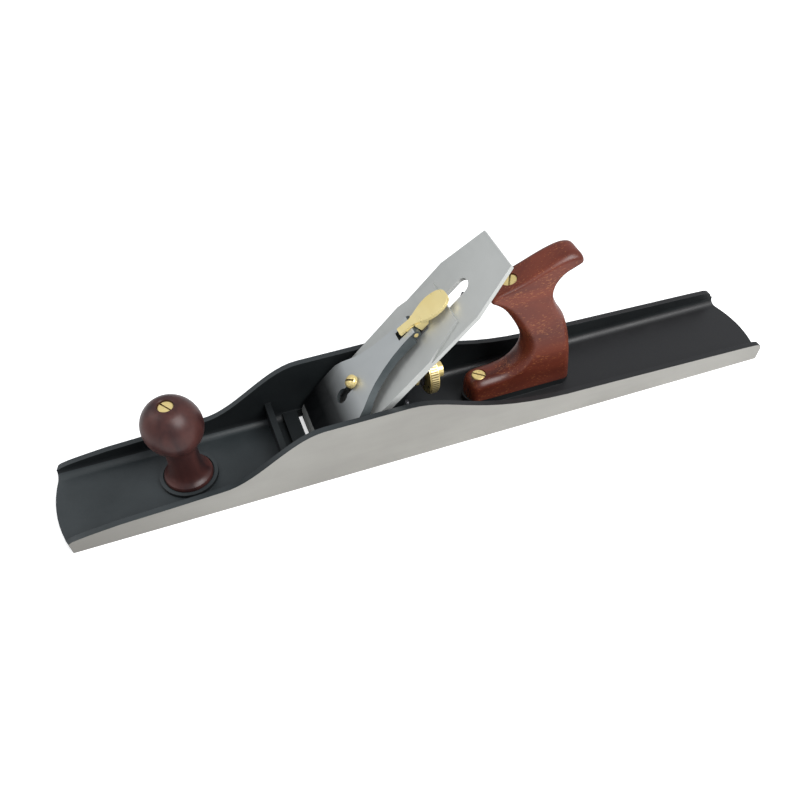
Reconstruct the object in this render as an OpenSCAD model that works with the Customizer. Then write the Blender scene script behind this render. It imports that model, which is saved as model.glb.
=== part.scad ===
// Jointer plane: a long cast iron hand plane that trues the edges of boards.
// Millimetres. The toe points to -X, the heel to +X, and the sole lies on z = 0.

/* [Casting] */
// Length of the sole
body_length = 559; // [520:1:600]
// Width of the sole
body_width = 73; // [70:0.5:80]
// Thickness of the sole
sole = 4; // [3:0.1:4.4]
// Thickness of each side wall
wall = 4.5; // [3.5:0.1:5]
// Height of the side walls beside the blade
cheek_height = 51.8; // [46:0.2:58]
// Height of the cross rib ahead of the mouth
rib_height = 22; // [12:0.5:28]
// Room between the blade and each side wall
side_gap = 2; // [1.5:0.1:3]

/* [Front knob] */
// Distance of the knob from the toe
knob_from_toe = 94.5; // [85:0.5:100]
// Radius of the ball of the knob
knob_ball = 21; // [18:0.5:22]
// Radius of the foot of the knob
knob_foot = 17.5; // [15:0.5:18]

/* [Rear handle] */
// Thickness of the handle
tote_thick = 22; // [20:0.5:26]
// Distance by which the handle is moved along the sole
tote_shift = 0; // [-1:0.5:8]

/* [Irons] */
// Length of the cutting iron
iron_length = 190; // [180:1:200]
// Thickness of the cutting iron
iron_thick = 3; // [2.6:0.1:3]
// Thickness of the cap iron
cap_thick = 2.2; // [1.8:0.1:2.2]
// Angle of the bevel at the cutting edge
bevel_angle = 25; // [25:1:35]

/* [Depth adjustment] */
// Radius of the knurled wheel
wheel_radius = 15.7; // [13:0.1:16.5]
// Radius of the threaded stud that carries the wheel
stud_radius = 3.1; // [2.6:0.1:3.1]
// Ridges round the wheel
wheel_ridges = 54; // [36:2:72]

/* [Fits] */
// Radial room of a shaft in its hole
fit = 0.05; // [0.02:0.01:0.08]

/* [Hidden] */
$fn = 48;
half_length = body_length / 2;
half_width = body_width / 2;
knob_x = knob_from_toe - half_length;
knob_middle = 56.5;
inner = half_width - wall;
iron_half = inner - side_gap;
bed_x = -89.8;
root = sqrt(2);
end_radius = 100;
heel_radius = 89.3;
pad = 8;
frog_seat = 14;
frog_reach = 1.5;
axis_z = 43.8;
pivot_s = 82;
pivot_n = -7;
pivot_x = bed_x + (pivot_s - pivot_n) / root;
pivot_z = (pivot_s + pivot_n) / root;
screw_s = 59.6;
cam_s = 115.5;
cam_n = 9.8;
swing_s = 94;
roller_s = 101;
cap_screw_s = 120;
frog_screw_x = -50;
frog_screw_y = 14;
seat_z = 10;
rod_foot = [98 + tote_shift, 0, seat_z];
rod_tilt = 24.06;
rod_radius = 2.8;
nut_radius = 5.5;
toe_screw_x = 40.2 + tote_shift;
adjust_z = 9.4;
iron_steel = [0.74, 0.74, 0.73];
cast_black = [0.16, 0.18, 0.19];
brass_gold = [0.86, 0.72, 0.36];
red_wood = [0.42, 0.2, 0.15];
dark_wood = [0.33, 0.19, 0.18];
dark_steel = [0.45, 0.46, 0.47];

// Points on a cubic curve from a to d that leaves towards b and arrives from c
function curve(a, b, c, d, n) = [for (i = [0:n]) let (t = i / n, u = 1 - t)
  u * u * u * a + 3 * u * u * t * b + 3 * u * t * t * c + t * t * t * d];

// Points on an arc about a centre
function arc(c, r, from, to, n) = [for (i = [0:n]) let (w = from + (to - from) * i / n)
  c + r * [cos(w), sin(w)]];

// A smooth step between two points, level at both ends
function step(a, b, n) = [for (i = [0:n]) let (t = i / n)
  [a[0] + (b[0] - a[0]) * t, a[1] + (b[1] - a[1]) * t * t * (3 - 2 * t)]];

// A smooth closed loop through a few anchors
function loop(p, n) = [for (i = [0:len(p) - 1], j = [0:n - 1])
  let (m = len(p), a = p[(i + m - 1) % m], b = p[i], c = p[(i + 1) % m], d = p[(i + 2) % m],
    t = j / n)
  0.5 * (2 * b + (c - a) * t + (2 * a - 5 * b + 4 * c - d) * t * t
    + (3 * b - a - 3 * c + d) * t * t * t)];

// Work laid out on the bed: x runs up the slope and z stands out of it
module on_bed() {
  translate([bed_x, 0, 0]) rotate([0, -45, 0]) children();
}

// A flat outline in x and z, given thickness across the plane
module across(half, side = 0) {
  translate([0, side, 0]) rotate([90, 0, 0]) linear_extrude(2 * half, center = true) children();
}

// A round bar along x, between two places
module bar_x(r, from, to) {
  translate([from, 0, 0]) rotate([0, 90, 0]) cylinder(h = to - from, r = r);
}

// A round bar across the plane, half of it on each side
module bar_y(r, half) {
  rotate([90, 0, 0]) cylinder(h = 2 * half, r = r, center = true);
}

// A flat plate outline in x and y between two heights
module slab(low, high) {
  translate([0, 0, low]) linear_extrude(high - low) children();
}

// A round slotted nut with an eased rim, its top at z = 0
module slotted_nut(r, deep) {
  difference() {
    rotate_extrude() polygon([[0, -deep], [r, -deep], [r, -0.8], [r - 0.3, -0.25], [r - 1, 0], [0, 0]]);
    translate([-r - 1, -0.6, -1.4]) cube([2 * r + 2, 1.2, 2]);
  }
}

// The casting: sole, two curved walls, ribs, seats and mouth
module body() {
  color(cast_black) difference() {
    union() {
      difference() {
        intersection() {
          plan_block();
          across(half_width + 1) polygon(wall_outline());
        }
        floor_hollow();
      }
      translate([-118.8, -inner - 1, 1]) cube([4.7, 2 * inner + 2, rib_height - 1]);
      translate([-107, -inner - 1, 1]) cube([39, 2 * inner + 2, pad - 1]);
      translate([-66, -25, 1]) cube([41.4, 50, frog_seat - 1]);
      translate([knob_x, 0, 1]) cylinder(h = sole + 2, r = knob_foot + 3.5);
      tote_seat();
    }
    across(iron_half + 1) polygon([[-96, -1], [-96, 9],
      [bed_x + 9 + 0.4 * root, 9], [bed_x - 1 + 0.4 * root, -1]]);
    translate([knob_x, 0, sole + 1.5]) cylinder(h = 9, r = knob_foot + 0.8);
    translate([knob_x, 0, 1.2]) cylinder(h = 9, r = rod_radius + fit);
    for (side = [-1, 1])
      translate([frog_screw_x, side * frog_screw_y, 2]) cylinder(h = 20, r = 2.5 + fit);
    translate([0, 0, adjust_z]) bar_x(2.6 + fit, -42, -20);
    along_tote_rod() translate([0, 0, -8.2]) cylinder(h = 20, r = rod_radius + fit);
    translate([toe_screw_x, 0, 2]) cylinder(h = 20, r = 2.5 + fit);
  }
}

// The sole seen from above, both ends rounded
module plan_block() {
  intersection() {
    translate([-half_length, -half_width, 0]) cube([body_length, body_width, cheek_height + 1]);
    union() {
      translate([end_radius - half_length, 0, 0])
        cylinder(h = cheek_height + 1, r = end_radius, $fn = 96);
      translate([half_length - heel_radius, 0, 0])
        cylinder(h = cheek_height + 1, r = heel_radius, $fn = 96);
      translate([end_radius - half_length, -half_width, 0])
        cube([body_length - end_radius - heel_radius, body_width, cheek_height + 1]);
    }
  }
}

// The walls seen from the side: low at the ends, high beside the blade
function wall_outline() = concat(
  [[-half_length - 1, -1], [-half_length - 1, 9.5], [7.2 - half_length, 10.6]],
  curve([7.6 - half_length, 11], [9 - half_length, 12.6], [20 - half_length, 14],
    [43 - half_length, 16.2], 5),
  [[76 - half_length, 17.6]],
  step([-166, 19.6], [bed_x, cheek_height], 14),
  curve([-30, cheek_height], [5, cheek_height], [25, 21], [115, 21], 14),
  [[166, 19.4], [209, 18.1], [half_length - 25.8, 16.5]],
  curve([half_length - 14, 15.9], [half_length - 9, 15.2], [half_length - 8, 13],
    [half_length - 8, 10.5], 4),
  [[half_length + 1, 10.5], [half_length + 1, -1]]);

// The open inside between the walls, with a rounded corner along each side
module floor_hollow() {
  round = 6;
  long = body_length + 4;
  translate([-long / 2, -inner, sole + round]) cube([long, 2 * inner, 80]);
  translate([-long / 2, round - inner, sole]) cube([long, 2 * (inner - round), 80]);
  for (side = [-1, 1])
    translate([0, side * (inner - round), sole + round]) bar_x(round, -long / 2, long / 2);
}

// The raised seat of the rear handle
module tote_seat() {
  for (x = [39, 107.5])
    translate([x + tote_shift, 0, 1]) cylinder(h = seat_z - 1, r = 10.5);
  translate([39 + tote_shift, -10.5, 1]) cube([68.5, 21, seat_z - 1]);
}

// The turned front knob
module knob() {
  low = sole + 1.5;
  ease = 8;
  crown = knob_middle + 0.9 * knob_ball;
  color(dark_wood) translate([knob_x, 0, 0]) difference() {
    rotate_extrude($fn = 72) polygon(concat(
      [[0, low], [knob_foot - 0.6, low], [knob_foot, low + 0.8], [knob_foot, low + 2.4]],
      curve([knob_foot - 0.5, low + 3.6], [knob_foot - 5, low + 6], [11.6, 17], [11.3, 26], ease),
      curve([11.3, 26.5], [11.3, 31], [0.52 * knob_ball, 37], middle_at(-48), ease),
      [for (w = [-40:8:56]) middle_at(w)],
      [[0.42 * knob_ball, crown], [nut_radius + 0.5, crown + 0.3], [nut_radius + 0.2, crown],
        [0, crown]]));
    translate([0, 0, 70.2]) cylinder(h = 20, r = nut_radius + fit);
    cylinder(h = 90, r = rod_radius + fit);
  }
}

// A point on the ball of the knob at an angle above its widest place
function middle_at(w) = [knob_ball * cos(w), knob_middle + knob_ball * sin(w)];

// The stud that holds the knob down
module knob_rod() {
  color(dark_steel) translate([knob_x, 0, 1.4]) cylinder(h = 68.8, r = rod_radius);
}

// The round nut on top of the knob
module knob_nut() {
  color(brass_gold) translate([knob_x, 0, 74.4]) rotate([0, 0, 35]) slotted_nut(nut_radius, 4.2);
}

// The axis of the long stud through the rear handle, z pointing up along it
module along_tote_rod() {
  translate(rod_foot) rotate([0, -rod_tilt, 0]) children();
}

// The side outline of the rear handle: anchors in x and z, each with how far the edge rounds over
function tote_anchors() = [
  [31, -20, 6.5], [31, -6, 6.5], [30.7, 8, 6.5], [31, 21, 6.5], [36, 26.6, 6.5], [44, 28, 6.5],
  [54, 28.8, 6.5], [64, 32, 6.5], [71, 39.5, 6.5], [73, 48, 6.5], [70.5, 58, 6.5],
  [62, 73, 6.5], [52, 87, 6.3], [43.5, 95.2, 4.5], [39, 99, 3], [38, 102.2, 2.4],
  [41.4, 105.2, 2.4], [51, 108.2, 2.5], [61, 111.5, 2.8], [72, 116.6, 3.2], [82, 121.2, 4],
  [91, 124.2, 5], [97.5, 124, 5.5], [102, 120.8, 6], [103, 116.4, 6], [98.8, 112.4, 6],
  [91.5, 107.2, 6.5], [87.4, 100.2, 6.5], [87.6, 91.4, 6.5], [92.5, 81.5, 6.5],
  [99.5, 71.5, 6.5], [105, 59, 6.5], [109.6, 44, 6.5], [113, 28, 6.5], [115.6, 12, 6.5],
  [117.5, -6, 6.5], [118, -20, 6.5]];

// How far the edge can round over at each point: less where the outline turns sharply
function bend(p, i) = let (m = len(p), a = p[(i + m - 2) % m], b = p[i % m], c = p[(i + 2) % m],
    k = -cross(b - a, c - b))
  k < 0.01 ? 99 : norm(b - a) * norm(c - b) * norm(a - c) / (2 * k);
function reach(p, most) = [for (i = [0:len(p) - 1])
  min(concat([most[i][2]], [for (j = [-2:2]) 0.72 * bend(p, i + j + len(p))]))];
function evened(r) = let (m = len(r)) [for (i = [0:m - 1])
  (r[(i + m - 2) % m] + r[(i + m - 1) % m] + r[i] + r[(i + 1) % m] + r[(i + 2) % m]) / 5];

// The same loop drawn in by a share of that reach, so that the edges round over
function drawn_in(p, r, share) = [for (i = [0:len(p) - 1])
  let (m = len(p), v = p[(i + 1) % m] - p[(i + m - 1) % m], u = v / norm(v))
  p[i] + share * r[i] * [u[1], -u[0]]];

// Whether corner i of a loop can be cut off as a triangle that holds no other corner
function turn(a, b, c) = cross(b - a, c - b);
function is_ear(p, q, i) = let (m = len(q), a = p[q[(i + m - 1) % m]], b = p[q[i]],
    c = p[q[(i + 1) % m]])
  turn(a, b, c) < 0 && len([for (k = q) let (v = p[k])
    if (v != a && v != b && v != c && turn(a, b, v) <= 0 && turn(b, c, v) <= 0
      && turn(c, a, v) <= 0) 1]) == 0;
function first_ear(p, q, i = 0) = i >= len(q) - 1 || is_ear(p, q, i) ? i : first_ear(p, q, i + 1);

// A flat loop cut into triangles, one corner at a time
function cut_up(p, q) = len(q) == 3 ? [q] : let (m = len(q), i = first_ear(p, q))
  concat([[q[(i + m - 1) % m], q[i], q[(i + 1) % m]]],
    cut_up(p, [for (k = [0:m - 1]) if (k != i) q[k]]));

// The rear handle, rounded over on both sides and flat on its seat
module tote() {
  half = tote_thick / 2;
  over = 1.4;
  steps = 6;
  anchors = loop(tote_anchors(), 3);
  line = [for (a = anchors) [a[0], a[1]]];
  many = len(line);
  room = evened(reach(line, anchors));
  rings = concat([for (k = [0:steps]) [-1, cos(90 * k / steps), 1 - sin(90 * k / steps)]],
    [for (k = [0:steps]) [1, sin(90 * k / steps), 1 - cos(90 * k / steps)]]);
  spots = [for (ring = rings) let (q = drawn_in(line, room, ring[2])) for (i = [0:many - 1])
    [q[i][0] + tote_shift, ring[0] * (half + over * room[i] * (ring[1] - 1)), q[i][1]]];
  top = len(rings) - 1;
  flat = cut_up(drawn_in(line, room, 1), [for (i = [0:many - 1]) i]);
  color(red_wood) difference() {
    intersection() {
      polyhedron(points = spots, faces = concat(
        [for (t = flat) t],
        [for (k = [0:top - 1], i = [0:many - 1]) let (j = (i + 1) % many)
          [k * many + i, (k + 1) * many + i, (k + 1) * many + j, k * many + j]],
        [for (t = flat) [top * many + t[2], top * many + t[1], top * many + t[0]]]),
        convexity = 6);
      translate([0, -40, seat_z]) cube([200, 80, 200]);
    }
    along_tote_rod() translate([0, 0, -20]) cylinder(h = 160, r = rod_radius + fit);
    along_tote_rod() translate([0, 0, 101.3]) cylinder(h = 40, r = nut_radius + fit);
    translate([toe_screw_x, 0, 0]) cylinder(h = 60, r = 2.5 + fit);
    translate([toe_screw_x, 0, 23]) cylinder(h = 60, r = 5.35 + fit);
  }
}

// The long stud through the handle
module tote_rod() {
  color(dark_steel) along_tote_rod() translate([0, 0, -8]) cylinder(h = 109.3, r = rod_radius);
}

// Its round nut at the top
module tote_nut() {
  color(brass_gold) along_tote_rod() translate([0, 0, 107.3]) rotate([0, 0, 60])
    slotted_nut(nut_radius, 6);
}

// The screw through the front foot of the handle, with its round head
module tote_toe_screw() {
  color(brass_gold) translate([toe_screw_x, 0, 0]) {
    translate([0, 0, 2.2]) cylinder(h = 22, r = 2.5);
    translate([0, 0, 27.5]) rotate([0, 0, 20]) slotted_nut(5.35, 4.5);
  }
}

// The frog: the sloping seat of the irons with its webs, foot, boss and lugs
module frog() {
  thick = 5.5;
  color(cast_black) difference() {
    union() {
      on_bed() slab(-thick, 0) polygon(concat(
        [[11.3, 1 - iron_half], [60, 2.5 - iron_half]],
        curve([86, 4 - iron_half], [97, 6 - iron_half], [102, -12], [102, -3], 8),
        curve([102, 3], [102, 12], [97, iron_half - 6], [86, iron_half - 4], 8),
        [[60, iron_half - 2.5], [11.3, iron_half - 1]]));
      for (side = [-1, 1]) across(1.75, side * 22.4) polygon(concat(
        [[bed_x + 22, 20], [bed_x + 62, 61], [bed_x + 66, 61]],
        curve([-22, 58], [-30, 50], [-33, 36], [-24, 23], 6), [[-20.2, 20], [-20.2, 17]]));
      across(24.5) polygon([[bed_x + 11, 10], [-68.5, 8.2], [-68.5, frog_seat], [-20, frog_seat],
        [-20, 20], [bed_x + 24, 20]]);
      across(iron_half - 2) polygon([[bed_x + pad + 1.5, pad], [-68.5, pad], [-68.5, 15],
        [bed_x + 18, 15]]);
      translate([-22.4, -24, 19]) cube([2.4, 48, 4]);
      intersection() {
        translate([0, 0, axis_z]) bar_x(7, -45, -30);
        on_bed() translate([0, -20, -42]) cube([120, 40, 40]);
      }
      across(8.4) polygon([[pivot_x - 4, pivot_z + 3], [pivot_x + 1, pivot_z + 5],
        [pivot_x + 5, pivot_z + 1], [pivot_x + 3.4, pivot_z - 4.2], [pivot_x - 1, pivot_z - 12],
        [pivot_x - 16, pivot_z - 10]]);
    }
    translate([-100, -40, -10]) cube([31.5, 80, pad + 10]);
    on_bed() translate([75.6, -4, -thick - 9]) cube([12, 8, 20]);
    across(3.75) polygon([[pivot_x - 5, pivot_z - 5.2], [pivot_x - 5, pivot_z + 12],
      [pivot_x + 12, pivot_z + 12], [pivot_x + 12, pivot_z - 5.2]]);
    translate([pivot_x, 0, pivot_z]) bar_y(2 + fit, 12);
    translate([0, 0, axis_z]) bar_x(stud_radius + fit, -38.2, 0);
    on_bed() translate([screw_s, 0, -7]) cylinder(h = 12, r = 2.9 + fit);
    on_bed() slab(-2.2, 3) polygon(concat(arc([swing_s, 0], 6.2, 270, 90, 12),
      [[105, 7.6], [105, -7.6]]));
    on_bed() translate([swing_s, 0, -12]) cylinder(h = 20, r = 2.2 + fit);
    for (side = [-1, 1]) {
      translate([frog_screw_x, side * frog_screw_y, 10]) cylinder(h = 14, r = 3.2);
      translate([frog_screw_x + frog_reach, side * frog_screw_y, 10]) cylinder(h = 14, r = 3.2);
      translate([frog_screw_x, side * frog_screw_y - 3.2, 10]) cube([frog_reach, 6.4, 14]);
      translate([frog_screw_x + 0.8, side * frog_screw_y, 21]) cylinder(h = 40, r = 6.2);
    }
    translate([0, 0, 17.4]) bar_x(2 + fit, -27, -19);
    across(4.8) polygon([[-23.3, 0], [-19, 0], [-19, 14.6], [-23.3, 14.6]]);
  }
}

// The two screws that hold the frog on the casting
module frog_screws() {
  color(dark_steel) for (side = [-1, 1]) translate([frog_screw_x, side * frog_screw_y, 0])
    difference() {
      union() {
        translate([0, 0, 2.2]) cylinder(h = 20, r = 2.5);
        translate([0, 0, 21.4]) cylinder(h = 3.4, r = 4.6);
      }
      translate([-6, -0.6, 23.4]) cube([12, 1.2, 3]);
    }
}

// The washers under their heads
module frog_washers() {
  color(dark_steel) for (side = [-1, 1]) translate([frog_screw_x, side * frog_screw_y, 20])
    difference() {
      cylinder(h = 1.4, r = 5.2);
      translate([0, 0, -1]) cylinder(h = 4, r = 2.5 + fit);
    }
}

// The screw behind the frog: its groove holds the fork, so turning it moves the frog
module frog_adjusting_screw() {
  color(dark_steel) translate([0, 0, adjust_z]) difference() {
    union() {
      bar_x(2.6, -38, -12.5);
      bar_x(4.2, -22.5, -20.3);
      bar_x(3.1, -21, -17.5);
      bar_x(5, -18.1, -12.5);
    }
    translate([-14, -6, -0.6]) cube([3, 12, 1.2]);
  }
}

// The forked plate that ties the screw to the frog
module frog_fork() {
  color(dark_steel) difference() {
    translate([-20, -8, 6.4]) cube([1.6, 16, 14.6]);
    translate([-21, 0, adjust_z]) bar_x(3.3, -1, 4);
    translate([-21, -3.3, 0]) cube([4, 6.6, adjust_z]);
    translate([0, 0, 17.4]) bar_x(2 + fit, -21, -17);
  }
}

// The small screw of the fork
module fork_screw() {
  color(dark_steel) translate([0, 0, 17.4]) difference() {
    union() {
      bar_x(2, -26.5, -18);
      bar_x(2.65, -18.4, -16.4);
    }
    translate([-17.2, -4, -0.4]) cube([2, 8, 0.8]);
  }
}

// The threaded stud out of the back of the frog
module adjusting_stud() {
  color(brass_gold) translate([0, 0, axis_z]) {
    bar_x(stud_radius, -38, 5.9);
    bar_x(stud_radius - 0.6, 5.5, 6.5);
  }
}

// The grooved collar that the yoke reaches into
module depth_nut() {
  color(brass_gold) translate([0, 0, axis_z]) difference() {
    union() {
      bar_x(7.5, -13.5, -11);
      bar_x(4.2, -12, -5.3);
    }
    bar_x(stud_radius + fit, -20, 0);
  }
}

// The knurled wheel and its rear hub
module depth_wheel() {
  color(brass_gold) translate([0, 0, axis_z]) difference() {
    union() {
      translate([-5.2, 0, 0]) rotate([0, 90, 0]) linear_extrude(7) polygon(
        [for (i = [0:2 * wheel_ridges - 1]) let (w = 180 * i / wheel_ridges,
          r = wheel_radius - 0.5 * (i % 2)) r * [cos(w), sin(w)]]);
      bar_x(5.5, 1, 8.6);
    }
    bar_x(stud_radius + fit, -9, 12);
    bar_x(4.4, 7, 12);
    for (end = [-1, 1]) translate([end < 0 ? -6.2 : 1, 0, 0]) difference() {
      bar_x(wheel_radius + 2, 0, 1.8);
      bar_x(wheel_radius - 0.9, -1, 3);
    }
  }
}

// The Y lever: a nib in the cap iron's slot, a hub, and two prongs in the collar's groove
module yoke() {
  color(dark_steel) difference() {
    union() {
      on_bed() translate([pivot_s - 1.9, -2.8, pivot_n]) cube([3.8, 5.6, 11]);
      on_bed() intersection() {
        translate([pivot_s, 0, 4.2]) bar_y(3.1, 2.8);
        translate([pivot_s - 5, -5, 1.5]) cube([10, 10, 4.1]);
      }
      translate([pivot_x, 0, pivot_z]) bar_y(4.4, 3.4);
      across(3.4) polygon([[pivot_x - 1, pivot_z + 4.1], [pivot_x + 3.6, pivot_z - 2.4],
        [-17, 55.6], [-14, 55.8], [-11, 55.8], [-11, 59.3], [-17, 59.6], [-21, 58.8]]);
      difference() {
        across(7.4) polygon([[-9.4, 39], [-6.9, 39], [-6.9, 49], [-8.6, 54], [-10, 59.3],
          [-14, 59.3], [-14, 55.6], [-12.2, 54.6], [-9.4, 48.5]]);
        translate([-30, -4.6, 30]) cube([30, 9.2, 25.8]);
      }
    }
    translate([pivot_x, 0, pivot_z]) bar_y(2 + fit, 12);
  }
}

// The pin that the yoke swings on
module yoke_pin() {
  color(dark_steel) translate([pivot_x, 0, pivot_z]) bar_y(2, 8.4);
}

// The lever that tilts the cutting iron sideways
module lateral_lever() {
  color(dark_steel) on_bed() difference() {
    union() {
      slab(-2, -0.4) polygon(concat(arc([swing_s, 0], 5.2, 90, 270, 12), [[106.4, -5], [106.4, 5]]));
      translate([104.8, -5, -10.6]) cube([1.6, 10, 10.2]);
      across(4) polygon([[104.8, -10.6], [106.4, -9], [148, -11.4], [148, -13]]);
      across(8) polygon([[146.6, -12.9], [146.6, -11.3], [152, -8.6], [152.8, -10]]);
    }
    translate([swing_s, 0, -4]) cylinder(h = 6, r = 2.2 + fit);
    translate([roller_s, 0, -4]) cylinder(h = 6, r = 1.6 + fit);
  }
}

// The rivet that the lever swings on
module lateral_rivet() {
  color(dark_steel) on_bed() {
    translate([swing_s, 0, -5.5]) cylinder(h = 5.2, r = 2.2);
    translate([swing_s, 0, -0.4]) cylinder(h = 0.35, r = 3.2);
  }
}

// The roller on the lever, which stands in the slot of the cutting iron
module lateral_roller() {
  color(iron_steel) on_bed() {
    translate([roller_s, 0, 0]) cylinder(h = 2.5, r = 4.6);
    translate([roller_s, 0, -2]) cylinder(h = 2.2, r = 1.6);
  }
}

// The screw that the lever cap hooks on
module lever_cap_screw() {
  color(brass_gold) on_bed() translate([screw_s, 0, 0]) {
    translate([0, 0, -5.4]) cylinder(h = 20.4, r = 2.9);
    translate([0, 0, 14.6]) difference() {
      rotate_extrude() polygon(concat([[0, 0], [3.6, 0], [4.8, 1.2], [4.8, 3.2]],
        curve([4.7, 3.6], [4.2, 4.9], [2.6, 5.6], [0, 5.7], 5)));
      rotate([0, 0, 28]) translate([-6, -0.6, 4.2]) cube([12, 1.2, 3]);
    }
  }
}

// The cutting iron: slotted for the cap iron screw, tapered at the top, bevelled at the edge
module cutting_iron() {
  low = -0.6;
  long = iron_length + low;
  color(iron_steel) on_bed() difference() {
    linear_extrude(iron_thick) polygon([[low, -iron_half], [154, -iron_half], [long, -20],
      [long, 20], [154, iron_half], [low, iron_half]]);
    across(iron_half + 1) polygon([[low - 1, iron_thick - 0.02], [low, iron_thick - 0.02],
      [low + iron_thick / tan(bevel_angle), 0], [low + 4, -1], [low - 1, -1]]);
    translate([50, 0, -1]) cylinder(h = 6, r = 8.75);
    translate([50, -5.75, -1]) cube([106.5, 11.5, 6]);
    translate([156.5, 0, -1]) cylinder(h = 6, r = 5.75);
  }
}

// The cap iron: a flat plate that curls over into a hump just behind the edge
module cap_iron() {
  base = iron_thick;
  top = base + cap_thick;
  color(iron_steel) on_bed() difference() {
    intersection() {
      across(iron_half + 1) polygon(concat(
        curve([0.8, base + 0.05], [4, base + 5.6], [8, base + 6.6], [14, base + 6.6], 8),
        curve([16, base + 6.5], [21, base + 6.2], [24, top + 0.1], [32, top], 7),
        [[142.5, top], [142.5, base], [32, base]],
        curve([30, base + 0.1], [24, base + 0.4], [20, base + 4.4], [14, base + 4.4], 7),
        curve([12, base + 4.4], [8.6, base + 4.2], [6, base + 3], [3.4, base], 5)));
      slab(base - 1, base + 12) polygon([[0, -iron_half], [112, -iron_half], [142.5, -21],
        [142.5, 21], [112, iron_half], [0, iron_half]]);
    }
    for (s = [56, 62]) translate([s, 0, base - 1]) cylinder(h = 6, r = 6);
    translate([56, -6, base - 1]) cube([6, 12, 6]);
    translate([pivot_s - 3.5, -3.2, base - 1]) cube([7, 6.4, 6]);
    translate([cap_screw_s, 0, base - 1]) cylinder(h = 6, r = 3.5 + fit);
  }
}

// The screw that joins the two irons, its wide head behind the cutting iron
module cap_iron_screw() {
  color(dark_steel) on_bed() translate([cap_screw_s, 0, 0]) difference() {
    union() {
      translate([0, 0, -4.2]) cylinder(h = 4.2, r = 8);
      translate([0, 0, -1]) cylinder(h = iron_thick + cap_thick + 1, r = 3.5);
    }
    translate([-10, -0.8, -5.2]) cube([20, 1.6, 2]);
  }
}

// Sections of the lever cap: place on the slope, top, edge, half width at top and edge
function cap_sections() = [
  [11, 11.3, 10.1, 29.2, 29.4], [30, 13.2, 9.3, 28.5, 29.5], [45, 13.9, 8.6, 28.2, 29.45],
  [52, 14.1, 8.3, 27.3, 28.8], [58, 14.2, 8.4, 24.5, 26.5], [66, 14.3, 9.6, 19.6, 22],
  [74, 14.2, 10.2, 15.6, 18.5], [84, 14.1, 10.2, 12.3, 15.3], [95, 13.9, 9.8, 9.8, 12.8],
  [105, 13.6, 9, 8.6, 11.8], [113, 13.35, 8, 8.3, 11.4]];

// Depth to which the hollow of the lever cap is cut, in a slight curve
function floor_n(s) = 4 + s * s / 4000;

// A closed skin through four corners at each section
module skin(spots, count) {
  last = 4 * (count - 1);
  polyhedron(points = spots, convexity = 4, faces = concat([[3, 2, 1, 0]],
    [for (k = [0:count - 2], i = [0:3]) let (j = (i + 1) % 4)
      [4 * k + j, 4 * k + 4 + j, 4 * k + 4 + i, 4 * k + i]],
    [[last, last + 1, last + 2, last + 3]]));
}

// The lever cap: hollow below, broad over the hump, narrow under the cam lever
module lever_cap() {
  many = cap_sections();
  shell = 2.8;
  count = len(many);
  color(iron_steel) on_bed() difference() {
    union() {
      skin([for (c = many) each [[c[0], -c[3], c[1]], [c[0], c[3], c[1]],
        [c[0], c[4], c[2]], [c[0], -c[4], c[2]]]], count);
      translate([cam_s, 0, cam_n]) bar_y(3.4, 8.4);
      across(8.4) polygon([[112, 8.2], [cam_s - 1.2, cam_n - 3], [cam_s, cam_n + 3.3], [112, 13.3]]);
    }
    skin([for (i = [1:count - 2]) let (c = many[i], s = i == 1 ? 19 : c[0] - (i == count - 2 ? 1 : 0),
      deep = i == 1 ? 12.1 - shell / 2 : c[1] - shell) each
      [[s, 2.2 - c[3], deep], [s, c[3] - 2.2, deep],
        [s, c[4] - 2.4, floor_n(s)], [s, 2.4 - c[4], floor_n(s)]]], count - 2);
    translate([46.3, 0, 5]) cylinder(h = 20, r = 5.4);
    translate([46.3, -3.2, 5]) cube([13, 6.4, 20]);
    translate([59.3, 0, 5]) cylinder(h = 20, r = 3.2);
    translate([104.5, -3.75, 5]) cube([20, 7.5, 20]);
    translate([cam_s, 0, cam_n]) bar_y(1.6 + fit, 12);
    translate([88, 0, 5]) cylinder(h = 8, r = 1.5 + fit);
  }
}

// The brass thumb lever: a cam on its pin, a short tail and a broad rounded paddle
module cam_lever() {
  tilt = 10.76;
  color(brass_gold) on_bed() difference() {
    union() {
      translate([108.2, 0, 16.4]) rotate([0, tilt, 0]) slab(-2.4, 0) polygon(concat(
        [[0, -3], [10, -3]], curve([11, -3.3], [16, -5], [20, -8.4], [27, -9], 6),
        curve([29, -9], [36, -8.8], [40, -5.6], [40, -1.4], 6),
        curve([40, 1.4], [40, 5.6], [36, 8.8], [29, 9], 6),
        curve([27, 9], [20, 8.4], [16, 5], [11, 3.3], 6), [[10, 3], [0, 3]]));
      translate([cam_s, 0, cam_n]) bar_y(3.3, 3.4);
      across(3.4) polygon([[cam_s - 3, cam_n + 1], [cam_s + 2.5, cam_n - 2.1], [121, 7.2],
        [124, 12], [112.5, 14]]);
      across(5.6) polygon([[119.4, 6.9], [120.2, 6.5], [126, 6.5], [127.5, 8.2], [129.5, 11.2],
        [119.4, 13]]);
    }
    translate([cam_s, 0, cam_n]) bar_y(1.6 + fit, 12);
  }
}

// The pin of the cam lever
module cam_pin() {
  color(brass_gold) on_bed() translate([cam_s, 0, cam_n]) bar_y(1.6, 8.4);
}

// The leaf spring under the lever cap, which the cam presses on the cap iron
module lever_cap_spring() {
  color(dark_steel) on_bed() difference() {
    across(7) polygon([[84, 11.25], [91.8, 11.1], [101.6, 6.3], [124, 6.3], [124, 5.5],
      [101.4, 5.5], [91.6, 10.3], [84, 10.4]]);
    translate([88, 0, 5]) cylinder(h = 20, r = 1.5 + fit);
  }
}

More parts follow.
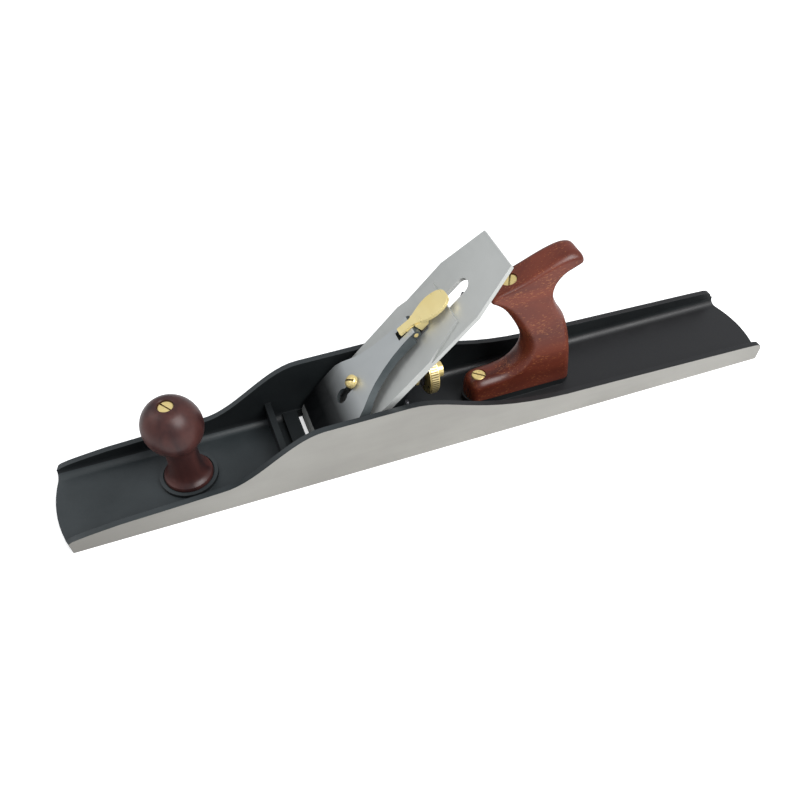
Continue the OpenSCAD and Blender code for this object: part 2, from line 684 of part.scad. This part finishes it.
// The rivet of the leaf spring
module spring_rivet() {
  color(iron_steel) on_bed() translate([88, 0, 0]) {
    translate([0, 0, 9.4]) cylinder(h = 3.5, r = 1.5);
    translate([0, 0, 9.2]) cylinder(h = 1, r = 2.6);
  }
}

body();
knob();
knob_rod();
knob_nut();
tote();
tote_rod();
tote_nut();
tote_toe_screw();
frog();
frog_screws();
frog_washers();
frog_adjusting_screw();
frog_fork();
fork_screw();
adjusting_stud();
depth_nut();
depth_wheel();
yoke();
yoke_pin();
lateral_lever();
lateral_rivet();
lateral_roller();
lever_cap_screw();
cutting_iron();
cap_iron();
cap_iron_screw();
lever_cap();
cam_lever();
cam_pin();
lever_cap_spring();
spring_rivet();
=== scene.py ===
from math import radians
import bpy
from mathutils import Matrix, Vector


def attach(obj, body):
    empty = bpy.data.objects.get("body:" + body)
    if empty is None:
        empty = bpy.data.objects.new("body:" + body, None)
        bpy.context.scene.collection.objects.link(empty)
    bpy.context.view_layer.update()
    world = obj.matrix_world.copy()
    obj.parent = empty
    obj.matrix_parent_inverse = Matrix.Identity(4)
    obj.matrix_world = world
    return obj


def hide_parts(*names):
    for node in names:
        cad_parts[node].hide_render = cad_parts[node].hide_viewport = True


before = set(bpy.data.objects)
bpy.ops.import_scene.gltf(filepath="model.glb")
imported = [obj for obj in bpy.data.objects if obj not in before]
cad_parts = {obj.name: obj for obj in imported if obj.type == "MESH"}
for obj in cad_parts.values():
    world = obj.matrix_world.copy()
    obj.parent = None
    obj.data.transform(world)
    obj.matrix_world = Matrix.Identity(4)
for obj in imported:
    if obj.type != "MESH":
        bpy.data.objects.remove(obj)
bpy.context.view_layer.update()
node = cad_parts

# Camera. It looks down on the plane from the toe's side, a little to the left of the middle,
# as a photographer on a step would, with the toe nearer and the heel farther off.
bpy.ops.object.camera_add(location=(-0.16044107, -0.35940583, 0.41704821),
                          rotation=(radians(35.58693), radians(0.93642), radians(-19.56178)))
camera = bpy.context.object
camera.name = "photo_camera"
camera.data.lens = 32.989
camera.data.sensor_width = 36
camera.data.shift_x = 0.02625
camera.data.shift_y = 0.1405
camera.data.clip_start = 0.01
bpy.context.scene.camera = camera

# Studio light. One broad soft lamp high on the right, a weaker one behind on the left, and a
# pale room all round, so that metal has something to show and nothing is lost in the dark.
# The room looks white to the camera and through the slots.
bpy.context.scene.view_settings.view_transform = "Standard"
bpy.ops.object.light_add(type="AREA", location=(0.55, -0.75, 1.15),
                         rotation=(radians(38), 0, radians(36)))
key_lamp = bpy.context.object
key_lamp.name = "key_lamp"
key_lamp.data.size = 0.9
key_lamp.data.energy = 21
bpy.ops.object.light_add(type="AREA", location=(-0.9, 0.35, 0.9),
                         rotation=(radians(-20), radians(-42), 0))
fill_lamp = bpy.context.object
fill_lamp.name = "fill_lamp"
fill_lamp.data.size = 0.8
fill_lamp.data.energy = 2.5
world = bpy.data.worlds.new("pale_room")
bpy.context.scene.world = world
world.use_nodes = True
tree = world.node_tree
room = tree.nodes["Background"]
room.inputs["Color"].default_value = (0.93, 0.96, 1.0, 1)
room.inputs["Strength"].default_value = 0.5
seen = tree.nodes.new("ShaderNodeBackground")
seen.inputs["Color"].default_value = (1, 1, 1, 1)
seen.inputs["Strength"].default_value = 1.0
ray = tree.nodes.new("ShaderNodeLightPath")
either = tree.nodes.new("ShaderNodeMath")
either.operation = "MAXIMUM"
tree.links.new(ray.outputs["Is Camera Ray"], either.inputs[0])
tree.links.new(ray.outputs["Is Transmission Ray"], either.inputs[1])
mix = tree.nodes.new("ShaderNodeMixShader")
tree.links.new(either.outputs[0], mix.inputs[0])
tree.links.new(room.outputs[0], mix.inputs[1])
tree.links.new(seen.outputs[0], mix.inputs[2])
tree.links.new(mix.outputs[0], tree.nodes["World Output"].inputs["Surface"])

# Floor. A sheet of white studio paper that takes the plane's soft shadow. It glows a little,
# to the camera alone, so that it comes out as white as the room.
bpy.ops.object.select_all(action="DESELECT")
bpy.ops.mesh.primitive_plane_add(size=6, location=(0, 0, 0))
floor = bpy.context.object
floor.name = "studio_floor"
paper = bpy.data.materials.new("studio_paper")
paper.use_nodes = True
tree = paper.node_tree
skin = tree.nodes["Principled BSDF"]
skin.inputs["Base Color"].default_value = (0.86, 0.86, 0.86, 1)
skin.inputs["Roughness"].default_value = 0.9
skin.inputs["Specular IOR Level"].default_value = 0.0
glow = tree.nodes.new("ShaderNodeEmission")
glow.inputs["Strength"].default_value = 0.55
ray = tree.nodes.new("ShaderNodeLightPath")
dark = tree.nodes.new("ShaderNodeEmission")
dark.inputs["Strength"].default_value = 0.0
pick = tree.nodes.new("ShaderNodeMixShader")
both = tree.nodes.new("ShaderNodeAddShader")
tree.links.new(ray.outputs["Is Camera Ray"], pick.inputs[0])
tree.links.new(dark.outputs[0], pick.inputs[1])
tree.links.new(glow.outputs[0], pick.inputs[2])
tree.links.new(skin.outputs[0], both.inputs[0])
tree.links.new(pick.outputs[0], both.inputs[1])
tree.links.new(both.outputs[0], tree.nodes["Material Output"].inputs["Surface"])
floor.data.materials.append(paper)


# Casting. Grey iron, cast in one with its walls, ribs and seats, then coated inside with
# baked black japan. Painted shade makes the japan darker on the walls, at the mouth and toward
# the heel. The sole and the outsides of the walls are ground bare afterwards, and painted shade
# makes them a little darker toward the toe.
def eased_copy(name, width, limit=32, segments=2, merge=2e-6):
    """A copy of a solid, its triangles joined, its flats cleaned and its sharp edges eased."""
    piece = node[name].copy()
    piece.data = node[name].data.copy()
    piece.name = name + "_finish"
    piece.parent = None
    piece.matrix_world.identity()
    bpy.context.scene.collection.objects.link(piece)
    bpy.ops.object.select_all(action="DESELECT")
    piece.select_set(True)
    bpy.context.view_layer.objects.active = piece
    bpy.ops.object.mode_set(mode="EDIT")
    bpy.ops.mesh.select_all(action="SELECT")
    bpy.ops.mesh.remove_doubles(threshold=merge)
    bpy.ops.mesh.dissolve_limited(angle_limit=radians(0.4))
    bpy.ops.object.mode_set(mode="OBJECT")
    if width:
        bevel = piece.modifiers.new("ease", "BEVEL")
        bevel.width = width
        bevel.segments = segments
        bevel.limit_method = "ANGLE"
        bevel.angle_limit = radians(limit)
        bpy.ops.object.modifier_apply(modifier="ease")
    bpy.ops.object.shade_smooth_by_angle(angle=radians(limit + 8))
    even = piece.modifiers.new("even", "WEIGHTED_NORMAL")
    even.weight = 60
    even.keep_sharp = True
    bpy.ops.object.modifier_apply(modifier="even")
    piece.data.materials.clear()
    return piece


def new_finish(name, metal, rough=0.5, shine=0.5):
    """A material with its plain values set; each section adds its own colours and patterns."""
    finish = bpy.data.materials.new(name)
    finish.use_nodes = True
    shader = finish.node_tree.nodes["Principled BSDF"]
    shader.inputs["Metallic"].default_value = metal
    shader.inputs["Roughness"].default_value = rough
    shader.inputs["Specular IOR Level"].default_value = shine
    return finish


def grain(finish, scale, stretch, detail=4.0, distort=0.0, turn=(0, 0, 0)):
    """A noise on the piece's own coordinates, drawn out along an axis."""
    tree = finish.node_tree
    place = tree.nodes.new("ShaderNodeTexCoord")
    mapping = tree.nodes.new("ShaderNodeMapping")
    mapping.inputs["Scale"].default_value = stretch
    mapping.inputs["Rotation"].default_value = turn
    noise = tree.nodes.new("ShaderNodeTexNoise")
    noise.inputs["Scale"].default_value = scale
    noise.inputs["Detail"].default_value = detail
    noise.inputs["Distortion"].default_value = distort
    tree.links.new(place.outputs["Object"], mapping.inputs["Vector"])
    tree.links.new(mapping.outputs["Vector"], noise.inputs["Vector"])
    return noise.outputs["Fac"]


def ramp(finish, source, stops=((0.3, (0, 0, 0)), (0.7, (1, 1, 1)))):
    """Colours laid along a value, or else black to white over its middle."""
    tree = finish.node_tree
    band = tree.nodes.new("ShaderNodeValToRGB")
    while len(band.color_ramp.elements) < len(stops):
        band.color_ramp.elements.new(0.5)
    for element, (at, colour) in zip(band.color_ramp.elements, stops):
        element.position = at
        element.color = (*colour, 1)
    tree.links.new(source, band.inputs["Fac"])
    return band.outputs["Color"]


def tint(finish, low, high, mask):
    """Colours a material with a blend of two colours, each plain or a pattern, by a mask."""
    tree = finish.node_tree
    blend = tree.nodes.new("ShaderNodeMix")
    blend.data_type = "RGBA"
    tree.links.new(mask, blend.inputs["Factor"])
    for colour, socket in ((low, blend.inputs["A"]), (high, blend.inputs["B"])):
        if isinstance(colour, tuple):
            socket.default_value = (*colour, 1)
        else:
            tree.links.new(colour, socket)
    tree.links.new(blend.outputs["Result"], tree.nodes["Principled BSDF"].inputs["Base Color"])
    return blend.outputs["Result"]


def relief(finish, height, strength, distance):
    """Raises the surface a little by a value, adding to any relief it has."""
    tree = finish.node_tree
    bump = tree.nodes.new("ShaderNodeBump")
    bump.inputs["Strength"].default_value = strength
    bump.inputs["Distance"].default_value = distance
    shader = tree.nodes["Principled BSDF"]
    if shader.inputs["Normal"].is_linked:
        tree.links.new(shader.inputs["Normal"].links[0].from_socket, bump.inputs["Normal"])
    tree.links.new(height, bump.inputs["Height"])
    tree.links.new(bump.outputs["Normal"], shader.inputs["Normal"])


def rough_by(finish, source, low, high):
    """Lets a value's middle change the gloss between two roughnesses."""
    tree = finish.node_tree
    reach = tree.nodes.new("ShaderNodeMapRange")
    reach.inputs["From Min"].default_value = 0.3
    reach.inputs["From Max"].default_value = 0.7
    reach.inputs["To Min"].default_value = low
    reach.inputs["To Max"].default_value = high
    tree.links.new(source, reach.inputs["Value"])
    tree.links.new(reach.outputs["Result"], tree.nodes["Principled BSDF"].inputs["Roughness"])


def along(finish, start, end):
    """A value that grows from 0 to 1 between two places on the plane's length."""
    tree = finish.node_tree
    place = tree.nodes.new("ShaderNodeTexCoord")
    split = tree.nodes.new("ShaderNodeSeparateXYZ")
    reach = tree.nodes.new("ShaderNodeMapRange")
    reach.interpolation_type = "SMOOTHSTEP"
    reach.inputs["From Min"].default_value = start
    reach.inputs["From Max"].default_value = end
    tree.links.new(place.outputs["Object"], split.inputs["Vector"])
    tree.links.new(split.outputs["X"], reach.inputs["Value"])
    return reach.outputs["Result"]


casting = eased_copy("body", 0.0009)
japan = new_finish("black_japan", 0.0)
toe_japan = tint(japan, (0.015, 0.02, 0.022), (0.031, 0.038, 0.041),
                 ramp(japan, grain(japan, 22, (1, 1, 1))))
# Painted shade: the japan grows darker from the toe toward the heel.
tint(japan, toe_japan, (0.011, 0.011, 0.012), along(japan, -0.18, 0.12))
rough_by(japan, grain(japan, 60, (1, 1, 1)), 0.36, 0.52)
relief(japan, grain(japan, 900, (1, 1, 1), 2), 0.14, 0.0004)
relief(japan, grain(japan, 120, (1, 1, 1), 3), 0.12, 0.0008)
# A darker black japan for the walls, the mouth and the frog, as painted shade.
shaded = new_finish("black_japan_painted_shade", 0.0, 0.5, 0.3)
tint(shaded, (0.005, 0.006, 0.007), (0.012, 0.015, 0.016),
     ramp(shaded, grain(shaded, 22, (1, 1, 1))))
relief(shaded, grain(shaded, 900, (1, 1, 1), 2), 0.14, 0.0004)
ground = new_finish("ground_iron", 0.35)
lines = grain(ground, 260, (0.06, 1, 1), 5)
even_ground = tint(ground, (0.32, 0.31, 0.285), (0.4, 0.39, 0.36),
                   ramp(ground, grain(ground, 14, (1, 1, 2), 4),
                        [(0.25, (0, 0, 0)), (0.75, (1, 1, 1))]))
# Painted shade: the bare iron grows darker toward the toe.
tint(ground, (0.22, 0.21, 0.19), even_ground, along(ground, -0.34, -0.13))
rough_by(ground, lines, 0.4, 0.54)
relief(ground, lines, 0.1, 0.0002)
casting.data.materials.append(japan)
casting.data.materials.append(ground)
casting.data.materials.append(shaded)
side = max(abs(v.co.y) for v in casting.data.vertices)
for face in casting.data.polygons:
    bare_side = abs(face.normal.y) > 0.97 and abs(face.center.y) > side - 0.0001
    bare_sole = face.normal.z < -0.97 and face.center.z < 0.0001
    upright = abs(face.normal.z) < 0.5
    near_mouth = -0.125 < face.center.x < -0.066 and face.center.z < 0.03
    # Upright faces and faces near the mouth take the darker japan of painted shade.
    face.material_index = 1 if bare_side or bare_sole else 2 if upright or near_mouth else 0
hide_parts("body")
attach(casting, "casting")

# Front knob. Dark red-brown hardwood, turned on a lathe and lacquered to a soft gloss.
knob = eased_copy("knob", 0.0003, 30)
knob_wood = new_finish("knob_wood", 0.0, shine=0.34)
rings = grain(knob_wood, 90, (1.0, 1.0, 0.16), 6, 0.3, (0.1, 0.2, 0))
tint(knob_wood, (0.031, 0.013, 0.013), (0.086, 0.029, 0.024),
     ramp(knob_wood, rings, [(0.3, (0, 0, 0)), (0.72, (1, 1, 1))]))
rough_by(knob_wood, rings, 0.3, 0.42)
relief(knob_wood, rings, 0.06, 0.0003)
knob.data.materials.append(knob_wood)
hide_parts("knob")
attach(knob, "casting")

# Slotted nuts and screws of the knob, the handle and the lever cap. Turned brass, bright from
# the lathe, each with one sawn slot that has gone dark. Each row gives the top of a head, its
# axis, and how far it is screwed round, in degrees.
brass = new_finish("turned_brass", 0.55)
tint(brass, (0.9, 0.69, 0.27), (0.95, 0.78, 0.36), ramp(brass, grain(brass, 60, (1, 1, 1), 3)))
rough_by(brass, grain(brass, 500, (1, 1, 1), 3), 0.26, 0.34)
sawn = new_finish("sawn_slot", 0.3, 0.6)
sawn.node_tree.nodes["Principled BSDF"].inputs["Base Color"].default_value = (0.14, 0.09, 0.03, 1)
for name, body, top, axis, turned in [
        ("knob_nut", "casting", (-0.185, 0, 0.0744), (0, 0, 1), -90),
        ("tote_nut", "casting", (0.05425, 0, 0.10798), (-0.4077, 0, 0.9131), 0),
        ("tote_toe_screw", "casting", (0.0402, 0, 0.0275), (0, 0, 1), -60),
        ("lever_cap_screw", "frog_set", (-0.06201, 0, 0.0565), (-0.70711, 0, 0.70711), -71)]:
    piece = eased_copy(name, 0.00015, 30)
    piece.data.materials.append(brass)
    piece.data.materials.append(sawn)
    top, axis = Vector(top), Vector(axis)
    piece.data.transform(Matrix.Translation(top) @ Matrix.Rotation(radians(turned), 4, axis)
                         @ Matrix.Translation(-top))
    for face in piece.data.polygons:
        out = face.center - top
        height = out.dot(axis)
        beside = (out - height * axis).length
        face.material_index = 1 if beside < 0.0009 and -0.0025 < height < -0.0003 else 0
    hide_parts(name)
    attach(piece, body)

# Depth wheel. Turned brass with a knurled rim. Painted shade makes the rim darkest at the
# floor of its grooves, and a painted highlight makes the ridge tops brighter than plain brass.
wheel = eased_copy("depth_wheel", 0, 30)
wheel_axis_z = 0.0438
knurl = new_finish("knurled_brass", 0.55, 0.3)
tree = knurl.node_tree
place = tree.nodes.new("ShaderNodeTexCoord")
from_axis = tree.nodes.new("ShaderNodeVectorMath")
from_axis.operation = "SUBTRACT"
from_axis.inputs[1].default_value = (0, 0, wheel_axis_z)
flat = tree.nodes.new("ShaderNodeVectorMath")
flat.operation = "MULTIPLY"
flat.inputs[1].default_value = (0, 1, 1)
away = tree.nodes.new("ShaderNodeVectorMath")
away.operation = "LENGTH"
groove = tree.nodes.new("ShaderNodeMapRange")
groove.inputs["From Min"].default_value = 0.01525
groove.inputs["From Max"].default_value = 0.01562
tree.links.new(place.outputs["Object"], from_axis.inputs[0])
tree.links.new(from_axis.outputs[0], flat.inputs[0])
tree.links.new(flat.outputs[0], away.inputs[0])
tree.links.new(away.outputs["Value"], groove.inputs["Value"])
# Painted shade in the grooves and a painted highlight on the ridges, by distance from the axis.
tint(knurl, (0.16, 0.09, 0.02), (0.97, 0.82, 0.42),
     ramp(knurl, groove.outputs["Result"], [(0, (0, 0, 0)), (1, (1, 1, 1))]))
wheel.data.materials.append(brass)
wheel.data.materials.append(knurl)
for face in wheel.data.polygons:
    off = (face.center.y ** 2 + (face.center.z - wheel_axis_z) ** 2) ** 0.5
    face.material_index = 1 if off > 0.0152 and abs(face.normal.x) < 0.3 else 0
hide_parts("depth_wheel")
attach(wheel, "wheel")

# Grooved collar, the stud that it runs on, and the cam lever's pin. The same turned brass.
for name, body in [("depth_nut", "depth_collar"), ("adjusting_stud", "frog_set"),
                   ("cam_pin", "clamp")]:
    piece = eased_copy(name, 0.00015, 30)
    piece.data.materials.append(brass)
    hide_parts(name)
    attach(piece, body)

# Rear handle. Red-brown hardwood, sawn to shape, rounded over by hand and lacquered; short
# orange pores run with the grain.
handle = eased_copy("tote", 0.0004, 40, 1, 1e-5)
handle_wood = new_finish("handle_wood", 0.0, shine=0.4)
figure = grain(handle_wood, 34, (0.35, 1.6, 1.2), 6, 0.6, (0, radians(-32), 0))
body_colour = ramp(handle_wood, figure,
                   [(0.28, (0.055, 0.011, 0.007)), (0.5, (0.125, 0.025, 0.013)),
                    (0.74, (0.2, 0.042, 0.019))])
fleck = grain(handle_wood, 1500, (0.3, 1, 1), 1, 0, (0, radians(-20), 0))
patch = grain(handle_wood, 55, (1, 1, 1), 2)
crowd = handle_wood.node_tree.nodes.new("ShaderNodeMath")
crowd.operation = "MULTIPLY_ADD"
crowd.inputs[1].default_value = 0.35
handle_wood.node_tree.links.new(patch, crowd.inputs[0])
handle_wood.node_tree.links.new(fleck, crowd.inputs[2])
pores = ramp(handle_wood, crowd.outputs[0], [(0.8, (0, 0, 0)), (0.87, (0.6, 0.6, 0.6))])
tint(handle_wood, body_colour, (0.36, 0.13, 0.05), pores)
rough_by(handle_wood, figure, 0.3, 0.42)
relief(handle_wood, fleck, 0.06, 0.0002)
handle.data.materials.append(handle_wood)
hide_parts("tote")
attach(handle, "casting")

# Frog. A smaller iron casting under the same black japan, in its darker form of painted shade;
# its face is milled to bed the iron.
frog = eased_copy("frog", 0.0005)
frog.data.materials.append(shaded)
frog.data.materials.append(ground)
for face in frog.data.polygons:
    face.material_index = 1 if face.normal.x < -0.7 and face.normal.z > 0.7 else 0
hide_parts("frog")
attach(frog, "frog_set")

# Cutting iron and cap iron. Flat tool steel, surface ground across, with crisp thin edges.
steel = new_finish("ground_steel", 0.6)
across_lines = grain(steel, 300, (1, 0.05, 1), 4)
tint(steel, (0.51, 0.52, 0.5), (0.6, 0.61, 0.59), ramp(steel, grain(steel, 18, (1, 1, 1), 4)))
rough_by(steel, across_lines, 0.36, 0.48)
relief(steel, across_lines, 0.07, 0.0001)
for name, width, body in [("cutting_iron", 0.0003, "irons"), ("cap_iron", 0.00025, "irons"),
                          ("lateral_roller", 0.0002, "side_roller")]:
    piece = eased_copy(name, width, 30)
    piece.data.materials.append(steel)
    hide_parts(name)
    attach(piece, body)

# Lever cap. A thin iron casting, its face ground and buffed; its skirt is painted darker, as
# painted shade. A painted reflection of the dark throat makes the face near black at its lip,
# growing brighter up the slope.
cap = eased_copy("lever_cap", 0.0005, 24)
bed_cosine = 0.7071
cap_face = new_finish("buffed_cap", 0.65)
buff = grain(cap_face, 200, (0.1, 1, 1), 4)
tree = cap_face.node_tree
place = tree.nodes.new("ShaderNodeTexCoord")
up_slope = tree.nodes.new("ShaderNodeVectorMath")
up_slope.operation = "DOT_PRODUCT"
up_slope.inputs[1].default_value = (bed_cosine, 0, bed_cosine)
painted_reflection_from_lip = tree.nodes.new("ShaderNodeMapRange")
painted_reflection_from_lip.inputs["From Min"].default_value = -0.0525
painted_reflection_from_lip.inputs["From Max"].default_value = -0.006
tree.links.new(place.outputs["Object"], up_slope.inputs[0])
tree.links.new(up_slope.outputs["Value"], painted_reflection_from_lip.inputs["Value"])
# Painted reflection: the face runs from near black at the lip to bright up the slope.
tint(cap_face, (0.006, 0.007, 0.008), (0.52, 0.54, 0.54),
     ramp(cap_face, painted_reflection_from_lip.outputs["Result"],
          [(0.3, (0, 0, 0)), (0.55, (0.09, 0.09, 0.09)), (0.8, (0.6, 0.6, 0.6)), (1, (1, 1, 1))]))
rough_by(cap_face, buff, 0.34, 0.46)
relief(cap_face, buff, 0.06, 0.0001)
# The skirt's darker colour is painted shade.
skirt = new_finish("cap_skirt_painted_shade", 0.4, 0.44)
tint(skirt, (0.055, 0.067, 0.07), (0.11, 0.127, 0.13),
     ramp(skirt, grain(skirt, 60, (1, 1, 1), 4)))
relief(skirt, grain(skirt, 500, (1, 1, 1), 3), 0.1, 0.0002)
cap.data.materials.append(cap_face)
cap.data.materials.append(skirt)
# Faces that do not face outward take the skirt's painted shade.
for face in cap.data.polygons:
    outward = (face.normal.z - face.normal.x) * bed_cosine
    face.material_index = 0 if outward > 0.9 else 1
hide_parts("lever_cap")
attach(cap, "clamp")

# Cam lever. Cast brass, filed and polished, its paddle rounded for the thumb.
thumb = eased_copy("cam_lever", 0.0005, 28, 3)
thumb_brass = new_finish("polished_brass", 0.5)
tint(thumb_brass, (0.9, 0.73, 0.32), (0.95, 0.8, 0.4),
     ramp(thumb_brass, grain(thumb_brass, 50, (1, 1, 1), 3)))
rough_by(thumb_brass, grain(thumb_brass, 300, (1, 0.2, 1), 3), 0.26, 0.36)
relief(thumb_brass, grain(thumb_brass, 90, (1, 1, 1), 2), 0.05, 0.0002)
thumb.data.materials.append(thumb_brass)
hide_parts("cam_lever")
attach(thumb, "cam")

# Hidden steel fittings. Rods, screws, washers, fork, yoke, pins, spring and side lever, all
# plain mild steel with an oiled, slightly dark surface.
oiled = new_finish("oiled_steel", 0.7)
tint(oiled, (0.06, 0.06, 0.07), (0.13, 0.13, 0.14), ramp(oiled, grain(oiled, 90, (1, 1, 1), 4)))
rough_by(oiled, grain(oiled, 200, (1, 1, 1), 3), 0.38, 0.52)
for name, body in [("knob_rod", "casting"), ("tote_rod", "casting"), ("frog_screws", "casting"),
                   ("frog_washers", "casting"), ("frog_adjusting_screw", "adjusting_screw"),
                   ("frog_fork", "frog_set"), ("fork_screw", "frog_set"),
                   ("yoke", "yoke_lever"), ("yoke_pin", "frog_set"),
                   ("lateral_lever", "side_lever"), ("lateral_rivet", "frog_set"),
                   ("cap_iron_screw", "irons"), ("lever_cap_spring", "clamp"),
                   ("spring_rivet", "clamp")]:
    piece = eased_copy(name, 0.0002, 30)
    piece.data.materials.append(oiled)
    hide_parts(name)
    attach(piece, body)
